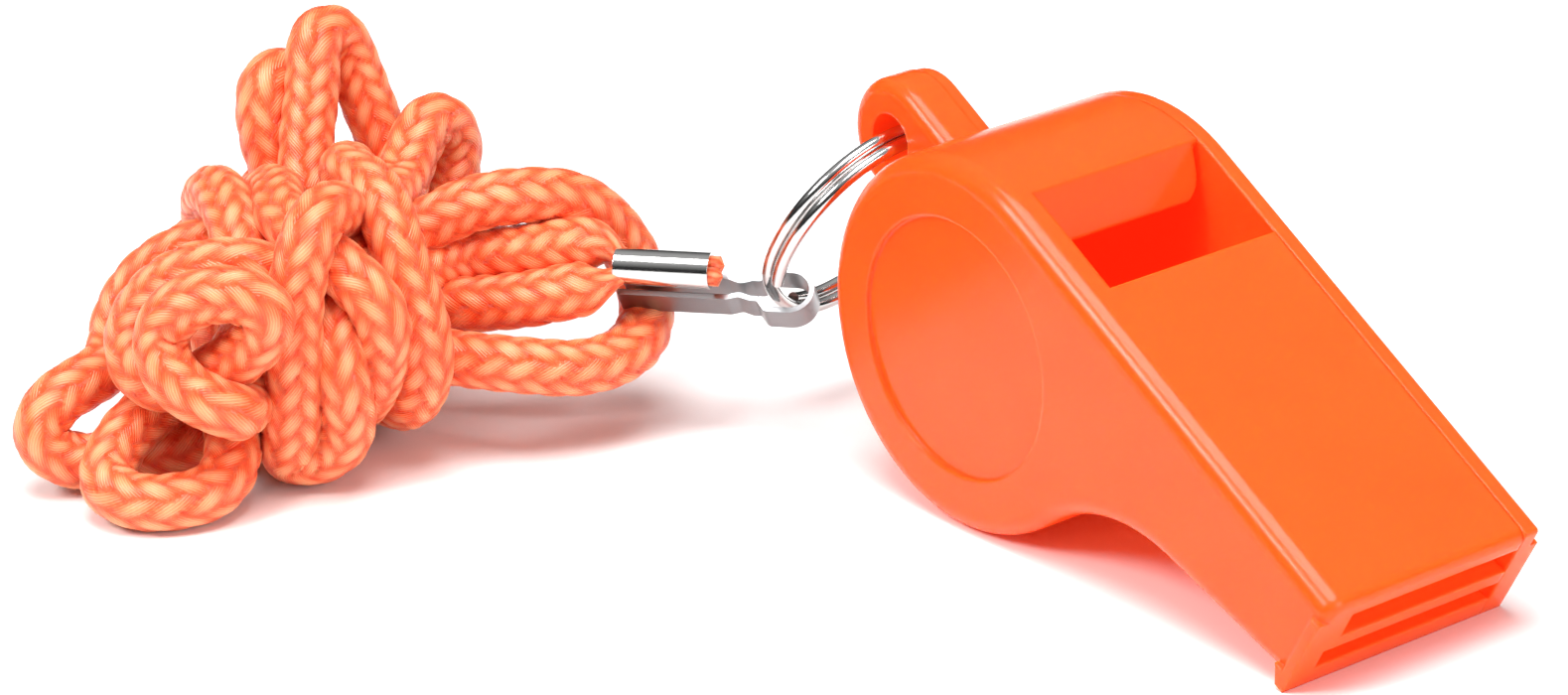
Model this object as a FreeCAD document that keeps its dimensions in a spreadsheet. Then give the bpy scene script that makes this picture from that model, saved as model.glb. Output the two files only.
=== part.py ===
import FreeCAD, Part
import math
import os
import Sketcher
from FreeCAD import Matrix, Placement, Rotation, Vector

# A referee's pea whistle on a short cord. The whistle lies on its round barrel and on the
# lower edge of its mouth. +X points towards the mouth, +Y towards the welded side cover, +Z up.
# Each piece of the whistle is drawn in the whistle's own axes (barrel axis through the origin,
# flat top level) and its Placement tips it to rest.

doc = FreeCAD.newDocument("Whistle")
sheet = doc.addObject("Spreadsheet::Sheet", "Sizes")

DRIVING_SIZES = [
    ("barrel_radius", 13.0, "outside radius of the round barrel, also the height of the flat top"),
    ("width", 18.0, "width of the whistle over both side walls"),
    ("cover_thickness", 1.35, "thickness of the side cover"),
    ("side_wall", 1.6, "near side wall at the chamber"),
    ("chamber_wall", 2.0, "curved wall of the chamber"),
    ("mouth_reach", 34.3, "from the barrel axis to the end of the mouth"),
    ("mouth_depth", 7.6, "height of the mouth end"),
    ("underside_slope", 10.0, "degrees between the mouth's underside and the flat top"),
    ("neck_radius", 13.0, "hollow curve between barrel and underside"),
    ("edge_round", 1.5, "rounding of the long edges of the near side"),
    ("mouth_round", 0.8, "rounding of the mouth end's outer edges"),
    ("cover_edge_round", 0.4, "rounding of the outer edge of the cover"),
    ("cover_mouth_round", 0.3, "rounding of the cover's edges at the mouth end"),
    ("cut_margin", 1.0, "how far a cut runs past the face that it opens"),
    ("disc_radius", 9.0, "round recess in each side"),
    ("disc_depth", 0.35, "depth of the round recess"),
    ("roof", 1.45, "thickness of the top plate over the windway"),
    ("windway_gap", 2.2, "height of the windway"),
    ("windway_wall", 2.5, "near side wall along windway and window"),
    ("floor_plate", 1.1, "thickness of the windway floor"),
    ("bottom_wall", 1.2, "wall under the hollow of the mouthpiece"),
    ("hollow_back", 22.0, "where the hollow under the windway ends, from the barrel axis"),
    ("window_front", 7.3, "front edge of the window, from the barrel axis"),
    ("lip_edge", 1.15, "sharp edge that splits the air, from the barrel axis"),
    ("ramp_back", -1.5, "upper end of the ramp behind that edge"),
    ("lip_drop", 3.1, "underside of the air lip below the flat top"),
    ("lip_land", 0.2, "thickness left at the air lip"),
    ("ramp_gap", 0.5, "gap between the end of the ramp and the cover"),
    ("ramp_land", 0.2, "from the ramp's upper end to the start of that gap"),
    ("ramp_corner", 1.2, "rounding of the ramp's free corner"),
    ("bite_length", 1.5, "length of the bite ridge at the mouth"),
    ("bite_rise", 0.4, "how far the bite ridge stands proud"),
    ("bite_root", 0.9, "how deep the bite ridge is rooted in the wall"),
    ("lug_reach", 17.0, "from the barrel axis to the lug hole"),
    ("lug_radius", 4.2, "rounded end of the lug"),
    ("lug_thickness", 4.2, "thickness of the lug"),
    ("lug_seam", 1.1, "far part of the lug, moulded by the other half of the tool"),
    ("lug_step", 0.12, "step at the lug's mould line"),
    ("lug_hole_radius", 1.9, "hole in the lug"),
    ("lug_round", 1.1, "rounding of the lug's near edge"),
    ("lug_far_round", 0.3, "rounding of the lug's far edge"),
    ("pea_radius", 4.6, "radius of the pea"),
    ("pea_clearance", 0.15, "gap between the pea and the chamber wall"),
    ("ring_radius", 7.9, "split ring, centre line of the wire"),
    ("ring_wire", 0.9, "wire diameter of the split ring"),
    ("ring_pitch", 1.0, "step from one coil of the split ring to the other"),
    ("ring_crossover", 48.0, "degrees over which the wire steps from coil to coil"),
    ("ring_lean", 30.0, "degrees that the ring hangs back from the plumb line"),
    ("ring_turn", 12.0, "degrees that the ring is slid round in the lug hole"),
    ("ring_yaw", 6.0, "degrees that the ring is turned in the lug hole"),
    ("clip_place", 37.0, "degrees round the ring from its lowest point to the clip"),
    ("clip_heading", 220.0, "degrees from +X to the direction in which the clip points"),
    ("clip_roll", 41.0, "degrees that the clip is rolled towards the near side"),
    ("clip_strip", 2.3, "width of the clip's strip"),
    ("clip_sheet", 0.4, "thickness of the clip's strip"),
    ("clip_eye_radius", 1.3, "inside radius of the clip's eye"),
    ("clip_eye_slack", 1.0, "room between the wire and the middle of the eye's bend"),
    ("clip_leg_gap", 1.1, "gap between the clip's legs"),
    ("clip_waist_gap", 0.6, "gap between the legs at the pinched waist"),
    ("clip_waist_place", 2.5, "from the eye to the waist"),
    ("clip_waist_run", 0.8, "length over which each leg leans in to the waist"),
    ("clip_throat_place", 1.1, "from the eye to where the legs begin to part for it"),
    ("clip_throat_run", 0.6, "length over which the legs part for the eye"),
    ("clip_bend", 0.7, "bends of the strip at the waist"),
    ("clip_throat_bend", 0.35, "bends of the strip at the throat of the eye"),
    ("clip_length", 10.9, "from the eye to the end of the legs"),
    ("crimp_radius", 1.25, "outside radius of the crimped barrel"),
    ("crimp_start", 4.3, "from the eye to the crimped barrel"),
    ("crimp_lift", 2.6, "crimped barrel above the middle of the strip"),
    ("crimp_shift", 0.45, "crimped barrel towards the far leg"),
    ("crimp_web_overlap", 0.35, "how far the far leg runs into the barrel's wall"),
    ("cord_diameter", 3.6, "braided cord"),
    ("cord_stub", 0.9, "cut cord ends standing out of the crimped barrel"),
    ("cord_stub_swell", 0.25, "how far the cut ends swell over the crimp's bore"),
    ("cord_gap", 0.1, "gap between the two cords beyond the crimp"),
    ("cord_spread", 1.6, "length over which the two ends swell to full size"),
]

for row, (alias, value, meaning) in enumerate(DRIVING_SIZES, start=1):
    sheet.set(f"A{row}", meaning)
    sheet.set(f"B{row}", str(value))
    sheet.setAlias(f"B{row}", alias)
doc.recompute()


def size(alias):
    """Value of a named cell, in millimetres or degrees."""
    return float(sheet.get(alias))


def plane_of(body, role):
    """The body's own origin plane with this role."""
    for feature in body.Origin.OriginFeatures:
        if feature.Role == role:
            return feature
    raise ValueError(role)


def new_sketch(body, name, role, offset=None):
    """Sketch on one of the body's origin planes, lifted off it by an expression."""
    sketch = body.newObject("Sketcher::SketchObject", name)
    sketch.AttachmentSupport = [(plane_of(body, role), "")]
    sketch.MapMode = "FlatFace"
    if offset:
        sketch.setExpression(".AttachmentOffset.Base.z", offset)
    return sketch


def add_polygon(sketch, corners, expressions):
    """Closed polygon; expressions maps (corner, 'x' or 'y') to the formula that places it."""
    count = len(corners)
    lines = []
    for index, corner in enumerate(corners):
        following = corners[(index + 1) % count]
        segment = Part.LineSegment(Vector(*corner, 0), Vector(*following, 0))
        lines.append(sketch.addGeometry(segment, False))
    for index in range(count):
        following = lines[(index + 1) % count]
        sketch.addConstraint(Sketcher.Constraint("Coincident", lines[index], 2, following, 1))
    for index, corner in enumerate(corners):
        for axis, kind, value in (("x", "DistanceX", corner[0]), ("y", "DistanceY", corner[1])):
            constraint = Sketcher.Constraint(kind, -1, 1, lines[index], 1, value)
            number = sketch.addConstraint(constraint)
            sketch.setExpression(f"Constraints[{number}]", expressions[index][axis])
    return lines


def add_circle(sketch, centre, radius, centre_x, radius_formula):
    """Circle on the sketch's x axis."""
    circle = sketch.addGeometry(Part.Circle(Vector(centre, 0, 0), Vector(0, 0, 1), radius), False)
    place = sketch.addConstraint(Sketcher.Constraint("DistanceX", -1, 1, circle, 3, centre))
    sketch.setExpression(f"Constraints[{place}]", centre_x)
    sketch.addConstraint(Sketcher.Constraint("PointOnObject", circle, 3, -1))
    width = sketch.addConstraint(Sketcher.Constraint("Radius", circle, radius))
    sketch.setExpression(f"Constraints[{width}]", radius_formula)
    return circle


def pad(body, sketch, name, length):
    """Pad along the sketch's normal by an expression."""
    feature = body.newObject("PartDesign::Pad", name)
    feature.Profile = sketch
    feature.setExpression("Length", length)
    return feature


def pocket(body, sketch, name, length, least, against_normal=True):
    """Pocket by an expression; it has to take away at least this volume."""
    before = body.Tip.Shape.Volume
    feature = body.newObject("PartDesign::Pocket", name)
    feature.Profile = sketch
    feature.setExpression("Length", length)
    feature.Reversed = not against_normal
    doc.recompute()
    if feature.Shape.isNull() or feature.Shape.Volume > before - least:
        raise ValueError(f"{name} cuts nothing")
    return feature


def fillet(body, name, chosen, radius):
    """Round the chosen edges of the body as it stands."""
    base = body.Tip
    feature = body.newObject("PartDesign::Fillet", name)
    feature.Base = (base, chosen)
    feature.setExpression("Radius", radius)
    doc.recompute()
    return feature


def underside_points():
    """Start values for the outline: ends of the underside line and the neck's centre."""
    radius = size("barrel_radius")
    neck = size("neck_radius")
    slope = math.radians(size("underside_slope"))
    low = Vector(size("mouth_reach"), radius - size("mouth_depth"), 0)
    along = Vector(math.cos(slope), math.sin(slope), 0)
    normal = Vector(-math.sin(slope), math.cos(slope), 0)
    depth = normal.dot(low) - neck
    reach = math.sqrt((radius + neck) ** 2 - depth ** 2)
    centre = along * reach + normal * depth
    foot = centre + normal * neck
    meet = centre * (radius / (radius + neck))
    return low, foot, centre, meet


def draw_outline(sketch):
    """Side view of the whistle: barrel arc, flat top, mouth end, underside and neck curve."""
    radius = size("barrel_radius")
    low, foot, centre, meet = underside_points()
    start = math.atan2(meet.y, meet.x)
    barrel = sketch.addGeometry(
        Part.ArcOfCircle(Part.Circle(Vector(0, 0, 0), Vector(0, 0, 1), radius),
                         math.pi / 2, start + 2 * math.pi), False)
    top = sketch.addGeometry(Part.LineSegment(Vector(0, radius, 0), Vector(low.x, radius, 0)), False)
    mouth = sketch.addGeometry(Part.LineSegment(Vector(low.x, radius, 0), low), False)
    under = sketch.addGeometry(Part.LineSegment(low, foot), False)
    neck_start = math.atan2(foot.y - centre.y, foot.x - centre.x)
    neck_end = math.atan2(meet.y - centre.y, meet.x - centre.x) + 2 * math.pi
    neck = sketch.addGeometry(
        Part.ArcOfCircle(Part.Circle(centre, Vector(0, 0, 1), size("neck_radius")),
                         neck_start, neck_end), False)
    sketch.addConstraint(Sketcher.Constraint("Coincident", barrel, 3, -1, 1))
    sketch.addConstraint(Sketcher.Constraint("Tangent", barrel, 1, top, 1))
    sketch.addConstraint(Sketcher.Constraint("Horizontal", top))
    sketch.addConstraint(Sketcher.Constraint("Coincident", top, 2, mouth, 1))
    sketch.addConstraint(Sketcher.Constraint("Vertical", mouth))
    sketch.addConstraint(Sketcher.Constraint("Coincident", mouth, 2, under, 1))
    sketch.addConstraint(Sketcher.Constraint("Tangent", under, 2, neck, 1))
    sketch.addConstraint(Sketcher.Constraint("Tangent", neck, 2, barrel, 2))
    driven = [
        (Sketcher.Constraint("Radius", barrel, radius), "Sizes.barrel_radius * 1 mm"),
        (Sketcher.Constraint("Radius", neck, size("neck_radius")), "Sizes.neck_radius * 1 mm"),
        (Sketcher.Constraint("DistanceX", -1, 1, top, 2, low.x), "Sizes.mouth_reach * 1 mm"),
        (Sketcher.Constraint("DistanceY", mouth, 2, mouth, 1, radius - low.y),
         "Sizes.mouth_depth * 1 mm"),
    ]
    for constraint, formula in driven:
        number = sketch.addConstraint(constraint)
        sketch.setExpression(f"Constraints[{number}]", formula)
    slope = Sketcher.Constraint("Angle", top, 1, under, 2, math.radians(size("underside_slope")))
    number = sketch.addConstraint(slope)
    sketch.setExpression(f"Constraints[{number}]", "Sizes.underside_slope * 1 deg")


def round_edges(body, name, plane_y, radius):
    """Round the outline's long edges that lie in the plane y = plane_y, but not the mouth's end."""
    reach = size("mouth_reach")
    chosen = []
    for index, edge in enumerate(body.Tip.Shape.Edges, start=1):
        box = edge.BoundBox
        flat = abs(box.YMin - plane_y) < 1e-4 and abs(box.YMax - plane_y) < 1e-4
        at_mouth = abs(box.XMin - reach) < 1e-4
        if flat and not at_mouth:
            chosen.append(f"Edge{index}")
    return fillet(body, name, chosen, radius)


def round_mouth(body, name, seam_y, radius):
    """Round the edges of the mouth's end face, but not the one on the seam plane y = seam_y."""
    reach = size("mouth_reach")
    chosen = []
    for index, edge in enumerate(body.Tip.Shape.Edges, start=1):
        box = edge.BoundBox
        at_mouth = abs(box.XMin - reach) < 1e-4 and abs(box.XMax - reach) < 1e-4
        on_seam = abs(box.YMin - seam_y) < 1e-4 and abs(box.YMax - seam_y) < 1e-4
        if at_mouth and not on_seam:
            chosen.append(f"Edge{index}")
    return fillet(body, name, chosen, radius)


def outline_body(label, seam, thickness):
    """Body padded from the whistle's side view, from the plane y = seam towards the near side."""
    body = doc.addObject("PartDesign::Body", label)
    body.Label = label
    outline = new_sketch(body, f"{label}_outline", "XZ_Plane", f"-({seam})")
    draw_outline(outline)
    pad(body, outline, f"{label}_plate", thickness)
    doc.recompute()
    return body


SEAM = "(Sizes.width / 2 - Sizes.cover_thickness) * 1 mm"
NEAR_FACE = "(Sizes.width / 2) * 1 mm"
MOUTH_LOW = "(Sizes.barrel_radius - Sizes.mouth_depth)"


def add_bite_ridge(body, seam, thickness, side, height):
    """Ridge under the mouth's end and up its outer side; side is -1 for the near face, +1 for the cover."""
    mouth = size("mouth_reach")
    back = mouth - size("bite_length")
    middle = mouth - size("bite_length") / 2
    low = size("barrel_radius") - size("mouth_depth")
    half = size("width") / 2
    root = size("bite_root")
    rise = size("bite_rise")
    at_mouth = "Sizes.mouth_reach * 1 mm"
    at_back = "(Sizes.mouth_reach - Sizes.bite_length) * 1 mm"
    at_middle = "(Sizes.mouth_reach - Sizes.bite_length / 2) * 1 mm"

    under = new_sketch(body, "ridge_under_profile", "XZ_Plane", f"-({seam})")
    inner = f"({MOUTH_LOW} + Sizes.bite_root) * 1 mm"
    proud = f"({MOUTH_LOW} - Sizes.bite_rise) * 1 mm"
    under_corners = [(back, low + root), (middle, low - rise), (mouth, low - rise), (mouth, low + root)]
    add_polygon(under, under_corners, [
        {"x": at_back, "y": inner},
        {"x": at_middle, "y": proud},
        {"x": at_mouth, "y": proud},
        {"x": at_mouth, "y": inner}])
    pad(body, under, "ridge_under", thickness)
    doc.recompute()

    upright = new_sketch(body, "ridge_side_profile", "XY_Plane", proud)
    inner = f"{side} * (Sizes.width / 2 - Sizes.bite_root) * 1 mm"
    proud = f"{side} * (Sizes.width / 2 + Sizes.bite_rise) * 1 mm"
    side_corners = [(back, side * (half - root)), (middle, side * (half + rise)),
                    (mouth, side * (half + rise)), (mouth, side * (half - root))]
    add_polygon(upright, side_corners, [
        {"x": at_back, "y": inner},
        {"x": at_middle, "y": proud},
        {"x": at_mouth, "y": proud},
        {"x": at_mouth, "y": inner}])
    pad(body, upright, "ridge_side", height)
    doc.recompute()


def make_whistle_body():
    """Moulded half with the chamber, windway, window, air lip and lug, open towards the cover."""
    body = outline_body("whistle_body", SEAM, "(Sizes.width - Sizes.cover_thickness) * 1 mm")
    round_edges(body, "near_edge_round", -size("width") / 2, "Sizes.edge_round * 1 mm")
    round_mouth(body, "mouth_edge_round", size("width") / 2 - size("cover_thickness"),
                "Sizes.mouth_round * 1 mm")
    add_bite_ridge(body, SEAM, "(Sizes.width - Sizes.cover_thickness + Sizes.bite_rise) * 1 mm", -1,
                   "(Sizes.mouth_depth + Sizes.bite_rise - Sizes.edge_round) * 1 mm")

    radius = size("barrel_radius")
    mouth = size("mouth_reach")
    low = radius - size("mouth_depth")
    margin = size("cut_margin")

    chamber = new_sketch(body, "chamber_profile", "XZ_Plane", f"-({SEAM})")
    draw_chamber(chamber)
    pocket(body, chamber, "chamber", "(Sizes.width - Sizes.cover_thickness - Sizes.side_wall) * 1 mm",
           1000, against_normal=False)

    windway = new_sketch(body, "windway_profile", "XZ_Plane", f"-({SEAM})")
    top = "(Sizes.barrel_radius - Sizes.roof)"
    floor = f"({top} - Sizes.windway_gap)"
    z_top = radius - size("roof")
    z_floor = z_top - size("windway_gap")
    inside = size("window_front") - margin
    past_window = "(Sizes.window_front - Sizes.cut_margin) * 1 mm"
    past_mouth = "(Sizes.mouth_reach + Sizes.cut_margin) * 1 mm"
    windway_corners = [(inside, z_floor), (mouth + margin, z_floor), (mouth + margin, z_top), (inside, z_top)]
    add_polygon(windway, windway_corners, [
        {"x": past_window, "y": f"{floor} * 1 mm"},
        {"x": past_mouth, "y": f"{floor} * 1 mm"},
        {"x": past_mouth, "y": f"{top} * 1 mm"},
        {"x": past_window, "y": f"{top} * 1 mm"}])
    pocket(body, windway, "windway", "(Sizes.width - Sizes.cover_thickness - Sizes.windway_wall) * 1 mm",
           300, against_normal=False)

    window = new_sketch(body, "window_profile", "XZ_Plane", f"-({SEAM})")
    land = radius - size("lip_drop") + size("lip_land")
    chamber_radius = radius - size("chamber_wall")
    sill = math.sqrt(chamber_radius ** 2 - size("window_front") ** 2) - margin / 2
    sill_formula = ("(sqrt((Sizes.barrel_radius - Sizes.chamber_wall)^2 - Sizes.window_front^2) "
                    "- Sizes.cut_margin / 2) * 1 mm")
    ramp_run = size("lip_edge") - size("ramp_back")
    ramp_rise = radius - land
    above = "(Sizes.barrel_radius + Sizes.cut_margin) * 1 mm"
    window_corners = [
        (size("ramp_back") - margin * ramp_run / ramp_rise, radius + margin),
        (size("lip_edge"), land),
        (size("lip_edge"), sill),
        (size("window_front"), sill),
        (size("window_front"), radius + margin)]
    add_polygon(window, window_corners, [
        {"x": "(Sizes.ramp_back - Sizes.cut_margin * (Sizes.lip_edge - Sizes.ramp_back) "
              "/ (Sizes.lip_drop - Sizes.lip_land)) * 1 mm",
         "y": above},
        {"x": "Sizes.lip_edge * 1 mm", "y": "(Sizes.barrel_radius - Sizes.lip_drop + Sizes.lip_land) * 1 mm"},
        {"x": "Sizes.lip_edge * 1 mm", "y": sill_formula},
        {"x": "Sizes.window_front * 1 mm", "y": sill_formula},
        {"x": "Sizes.window_front * 1 mm", "y": above}])
    pocket(body, window, "window", "(Sizes.width - Sizes.cover_thickness - Sizes.windway_wall) * 1 mm",
           50, against_normal=False)

    gap = new_sketch(body, "ramp_gap_profile", "XY_Plane", above)
    draw_ramp_gap(gap)
    pocket(body, gap, "ramp_gap_cut", "(Sizes.lip_drop + 2 * Sizes.cut_margin) * 1 mm", 0.5)

    hollow = new_sketch(body, "hollow_profile", "XZ_Plane", f"-({SEAM})")
    plate = f"({floor} - Sizes.floor_plate)"
    slope = math.tan(math.radians(size("underside_slope")))
    z_plate = z_floor - size("floor_plate")
    z_low = low + size("bottom_wall")
    back = size("hollow_back")
    hollow_corners = [
        (back, z_plate),
        (back, z_low - (mouth - back) * slope),
        (mouth + margin, z_low + margin * slope),
        (mouth + margin, z_plate)]
    add_polygon(hollow, hollow_corners, [
        {"x": "Sizes.hollow_back * 1 mm", "y": f"{plate} * 1 mm"},
        {"x": "Sizes.hollow_back * 1 mm",
         "y": f"({MOUTH_LOW} + Sizes.bottom_wall - (Sizes.mouth_reach - Sizes.hollow_back) "
              "* tan(Sizes.underside_slope * 1 deg)) * 1 mm"},
        {"x": past_mouth,
         "y": f"({MOUTH_LOW} + Sizes.bottom_wall + Sizes.cut_margin "
              "* tan(Sizes.underside_slope * 1 deg)) * 1 mm"},
        {"x": past_mouth, "y": f"{plate} * 1 mm"}])
    pocket(body, hollow, "mouth_hollow", "(Sizes.width - Sizes.cover_thickness - Sizes.side_wall) * 1 mm",
           50, against_normal=False)

    disc = new_sketch(body, "near_disc_profile", "XZ_Plane", NEAR_FACE)
    add_circle(disc, 0, size("disc_radius"), "0 mm", "Sizes.disc_radius * 1 mm")
    pocket(body, disc, "near_disc", "Sizes.disc_depth * 1 mm", 10)

    add_lug(body)
    return body


def draw_chamber(sketch):
    """Round chamber whose ceiling is cut flat under the air lip, on its side of the lip's edge."""
    radius = size("barrel_radius") - size("chamber_wall")
    ceiling = size("barrel_radius") - size("lip_drop")
    edge = size("lip_edge")
    back = -math.sqrt(radius ** 2 - ceiling ** 2)
    step_top = math.sqrt(radius ** 2 - edge ** 2)
    arc = sketch.addGeometry(
        Part.ArcOfCircle(Part.Circle(Vector(0, 0, 0), Vector(0, 0, 1), radius),
                         math.atan2(ceiling, back), math.atan2(step_top, edge) + 2 * math.pi), False)
    step = sketch.addGeometry(Part.LineSegment(Vector(edge, step_top, 0), Vector(edge, ceiling, 0)), False)
    flat = sketch.addGeometry(Part.LineSegment(Vector(edge, ceiling, 0), Vector(back, ceiling, 0)), False)
    sketch.addConstraint(Sketcher.Constraint("Coincident", arc, 3, -1, 1))
    sketch.addConstraint(Sketcher.Constraint("Coincident", arc, 2, step, 1))
    sketch.addConstraint(Sketcher.Constraint("Vertical", step))
    sketch.addConstraint(Sketcher.Constraint("Coincident", step, 2, flat, 1))
    sketch.addConstraint(Sketcher.Constraint("Horizontal", flat))
    sketch.addConstraint(Sketcher.Constraint("Coincident", flat, 2, arc, 1))
    driven = [
        (Sketcher.Constraint("Radius", arc, radius), "(Sizes.barrel_radius - Sizes.chamber_wall) * 1 mm"),
        (Sketcher.Constraint("DistanceX", -1, 1, step, 2, edge), "Sizes.lip_edge * 1 mm"),
        (Sketcher.Constraint("DistanceY", -1, 1, step, 2, ceiling),
         "(Sizes.barrel_radius - Sizes.lip_drop) * 1 mm"),
    ]
    for constraint, formula in driven:
        number = sketch.addConstraint(constraint)
        sketch.setExpression(f"Constraints[{number}]", formula)


def draw_ramp_gap(sketch):
    """Strip between the ramp's end and the cover, with the ramp's free corner rounded."""
    seam_y = size("width") / 2 - size("cover_thickness")
    margin = size("cut_margin")
    left = size("ramp_back") + size("ramp_land")
    right = size("lip_edge") + margin
    corner = size("ramp_corner")
    front = seam_y - size("ramp_gap")
    centre = Vector(size("lip_edge") - corner, front - corner, 0)
    arc = sketch.addGeometry(
        Part.ArcOfCircle(Part.Circle(centre, Vector(0, 0, 1), corner), 0, math.pi / 2), False)
    points = [Vector(centre.x, front, 0), Vector(left, front, 0), Vector(left, seam_y + margin, 0),
              Vector(right, seam_y + margin, 0), Vector(right, centre.y, 0),
              Vector(centre.x + corner, centre.y, 0)]
    lines = [sketch.addGeometry(Part.LineSegment(a, b), False) for a, b in zip(points, points[1:])]
    sketch.addConstraint(Sketcher.Constraint("Tangent", arc, 2, lines[0], 1))
    for first, second in zip(lines, lines[1:]):
        sketch.addConstraint(Sketcher.Constraint("Coincident", first, 2, second, 1))
    sketch.addConstraint(Sketcher.Constraint("Coincident", lines[4], 2, arc, 1))
    for index, direction in enumerate(("Horizontal", "Vertical", "Horizontal", "Vertical", "Horizontal")):
        sketch.addConstraint(Sketcher.Constraint(direction, lines[index]))
    seam = "Sizes.width / 2 - Sizes.cover_thickness"
    driven = [
        (Sketcher.Constraint("Radius", arc, corner), "Sizes.ramp_corner * 1 mm"),
        (Sketcher.Constraint("DistanceX", -1, 1, arc, 3, centre.x),
         "(Sizes.lip_edge - Sizes.ramp_corner) * 1 mm"),
        (Sketcher.Constraint("DistanceY", -1, 1, lines[0], 2, front), f"({seam} - Sizes.ramp_gap) * 1 mm"),
        (Sketcher.Constraint("DistanceX", -1, 1, lines[0], 2, left),
         "(Sizes.ramp_back + Sizes.ramp_land) * 1 mm"),
        (Sketcher.Constraint("DistanceY", -1, 1, lines[2], 1, seam_y + margin),
         f"({seam} + Sizes.cut_margin) * 1 mm"),
        (Sketcher.Constraint("DistanceX", -1, 1, lines[3], 1, right),
         "(Sizes.lip_edge + Sizes.cut_margin) * 1 mm"),
    ]
    for constraint, formula in driven:
        number = sketch.addConstraint(constraint)
        sketch.setExpression(f"Constraints[{number}]", formula)


def draw_lug(sketch, radius, radius_formula):
    """Tab with a rounded end, running back from inside the barrel wall."""
    reach = size("lug_reach")
    root = size("barrel_radius") - 0.5 * size("chamber_wall")
    arc = sketch.addGeometry(
        Part.ArcOfCircle(Part.Circle(Vector(-reach, 0, 0), Vector(0, 0, 1), radius),
                         math.pi / 2, 3 * math.pi / 2), False)
    top = sketch.addGeometry(Part.LineSegment(Vector(-root, radius, 0), Vector(-reach, radius, 0)), False)
    bottom = sketch.addGeometry(
        Part.LineSegment(Vector(-reach, -radius, 0), Vector(-root, -radius, 0)), False)
    back = sketch.addGeometry(Part.LineSegment(Vector(-root, -radius, 0), Vector(-root, radius, 0)), False)
    sketch.addConstraint(Sketcher.Constraint("Tangent", top, 2, arc, 1))
    sketch.addConstraint(Sketcher.Constraint("Tangent", arc, 2, bottom, 1))
    sketch.addConstraint(Sketcher.Constraint("Coincident", bottom, 2, back, 1))
    sketch.addConstraint(Sketcher.Constraint("Coincident", back, 2, top, 1))
    sketch.addConstraint(Sketcher.Constraint("Horizontal", top))
    sketch.addConstraint(Sketcher.Constraint("Vertical", back))
    sketch.addConstraint(Sketcher.Constraint("PointOnObject", arc, 3, -1))
    driven = [
        (Sketcher.Constraint("Radius", arc, radius), radius_formula),
        (Sketcher.Constraint("DistanceX", arc, 3, -1, 1, reach), "Sizes.lug_reach * 1 mm"),
        (Sketcher.Constraint("DistanceX", back, 1, -1, 1, root),
         "(Sizes.barrel_radius - Sizes.chamber_wall / 2) * 1 mm"),
    ]
    for constraint, formula in driven:
        number = sketch.addConstraint(constraint)
        sketch.setExpression(f"Constraints[{number}]", formula)


def add_lug(body):
    """Lug behind the barrel: near part, slightly smaller far part, rounded near edge and hole."""
    near = new_sketch(body, "lug_near_profile", "XZ_Plane",
                      "(Sizes.lug_seam - Sizes.lug_thickness / 2) * 1 mm")
    draw_lug(near, size("lug_radius"), "Sizes.lug_radius * 1 mm")
    pad(body, near, "lug_near", "(Sizes.lug_thickness - Sizes.lug_seam) * 1 mm")
    doc.recompute()
    far = new_sketch(body, "lug_far_profile", "XZ_Plane", "(-Sizes.lug_thickness / 2) * 1 mm")
    draw_lug(far, size("lug_radius") - size("lug_step"), "(Sizes.lug_radius - Sizes.lug_step) * 1 mm")
    pad(body, far, "lug_far", "Sizes.lug_seam * 1 mm")
    doc.recompute()

    near_y = -size("lug_thickness") / 2
    far_y = size("lug_thickness") / 2
    for name, plane_y, radius in (("lug_near_round", near_y, "Sizes.lug_round * 1 mm"),
                                  ("lug_far_round", far_y, "Sizes.lug_far_round * 1 mm")):
        chosen = []
        for index, edge in enumerate(body.Tip.Shape.Edges, start=1):
            box = edge.BoundBox
            flat = abs(box.YMin - plane_y) < 1e-4 and abs(box.YMax - plane_y) < 1e-4
            outside = box.Center.x < -size("barrel_radius")
            if flat and outside:
                chosen.append(f"Edge{index}")
        fillet(body, name, chosen, radius)

    hole = new_sketch(body, "lug_hole_profile", "XZ_Plane",
                      "(Sizes.lug_thickness / 2 + Sizes.cut_margin) * 1 mm")
    add_circle(hole, -size("lug_reach"), size("lug_hole_radius"), "-Sizes.lug_reach * 1 mm",
               "Sizes.lug_hole_radius * 1 mm")
    pocket(body, hole, "lug_hole", "(Sizes.lug_thickness + 2 * Sizes.cut_margin) * 1 mm", 10)


def make_side_cover():
    """Flat side cover with the whistle's outline, welded on from the far side."""
    body = outline_body("side_cover", NEAR_FACE, "Sizes.cover_thickness * 1 mm")
    round_edges(body, "cover_edge_round_off", size("width") / 2, "Sizes.cover_edge_round * 1 mm")
    round_mouth(body, "cover_mouth_round_off", size("width") / 2 - size("cover_thickness"),
                "Sizes.cover_mouth_round * 1 mm")
    add_bite_ridge(body, NEAR_FACE, "Sizes.cover_thickness * 1 mm", 1,
                   "(Sizes.mouth_depth + Sizes.bite_rise - Sizes.edge_round) * 1 mm")
    disc = new_sketch(body, "far_disc_profile", "XZ_Plane", f"-({NEAR_FACE})")
    add_circle(disc, 0, size("disc_radius"), "0 mm", "Sizes.disc_radius * 1 mm")
    pocket(body, disc, "far_disc", "Sizes.disc_depth * 1 mm", 10, against_normal=False)
    return body


whistle_body = make_whistle_body()
side_cover = make_side_cover()


def rest_pitch():
    """Degrees that the whistle tips down until its mouth touches what the barrel lies on."""
    low = Vector(size("mouth_reach"), size("barrel_radius") - size("mouth_depth") - size("bite_rise"), 0)
    return math.degrees(math.asin(size("barrel_radius") / low.Length) + math.atan2(low.y, low.x))


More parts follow.
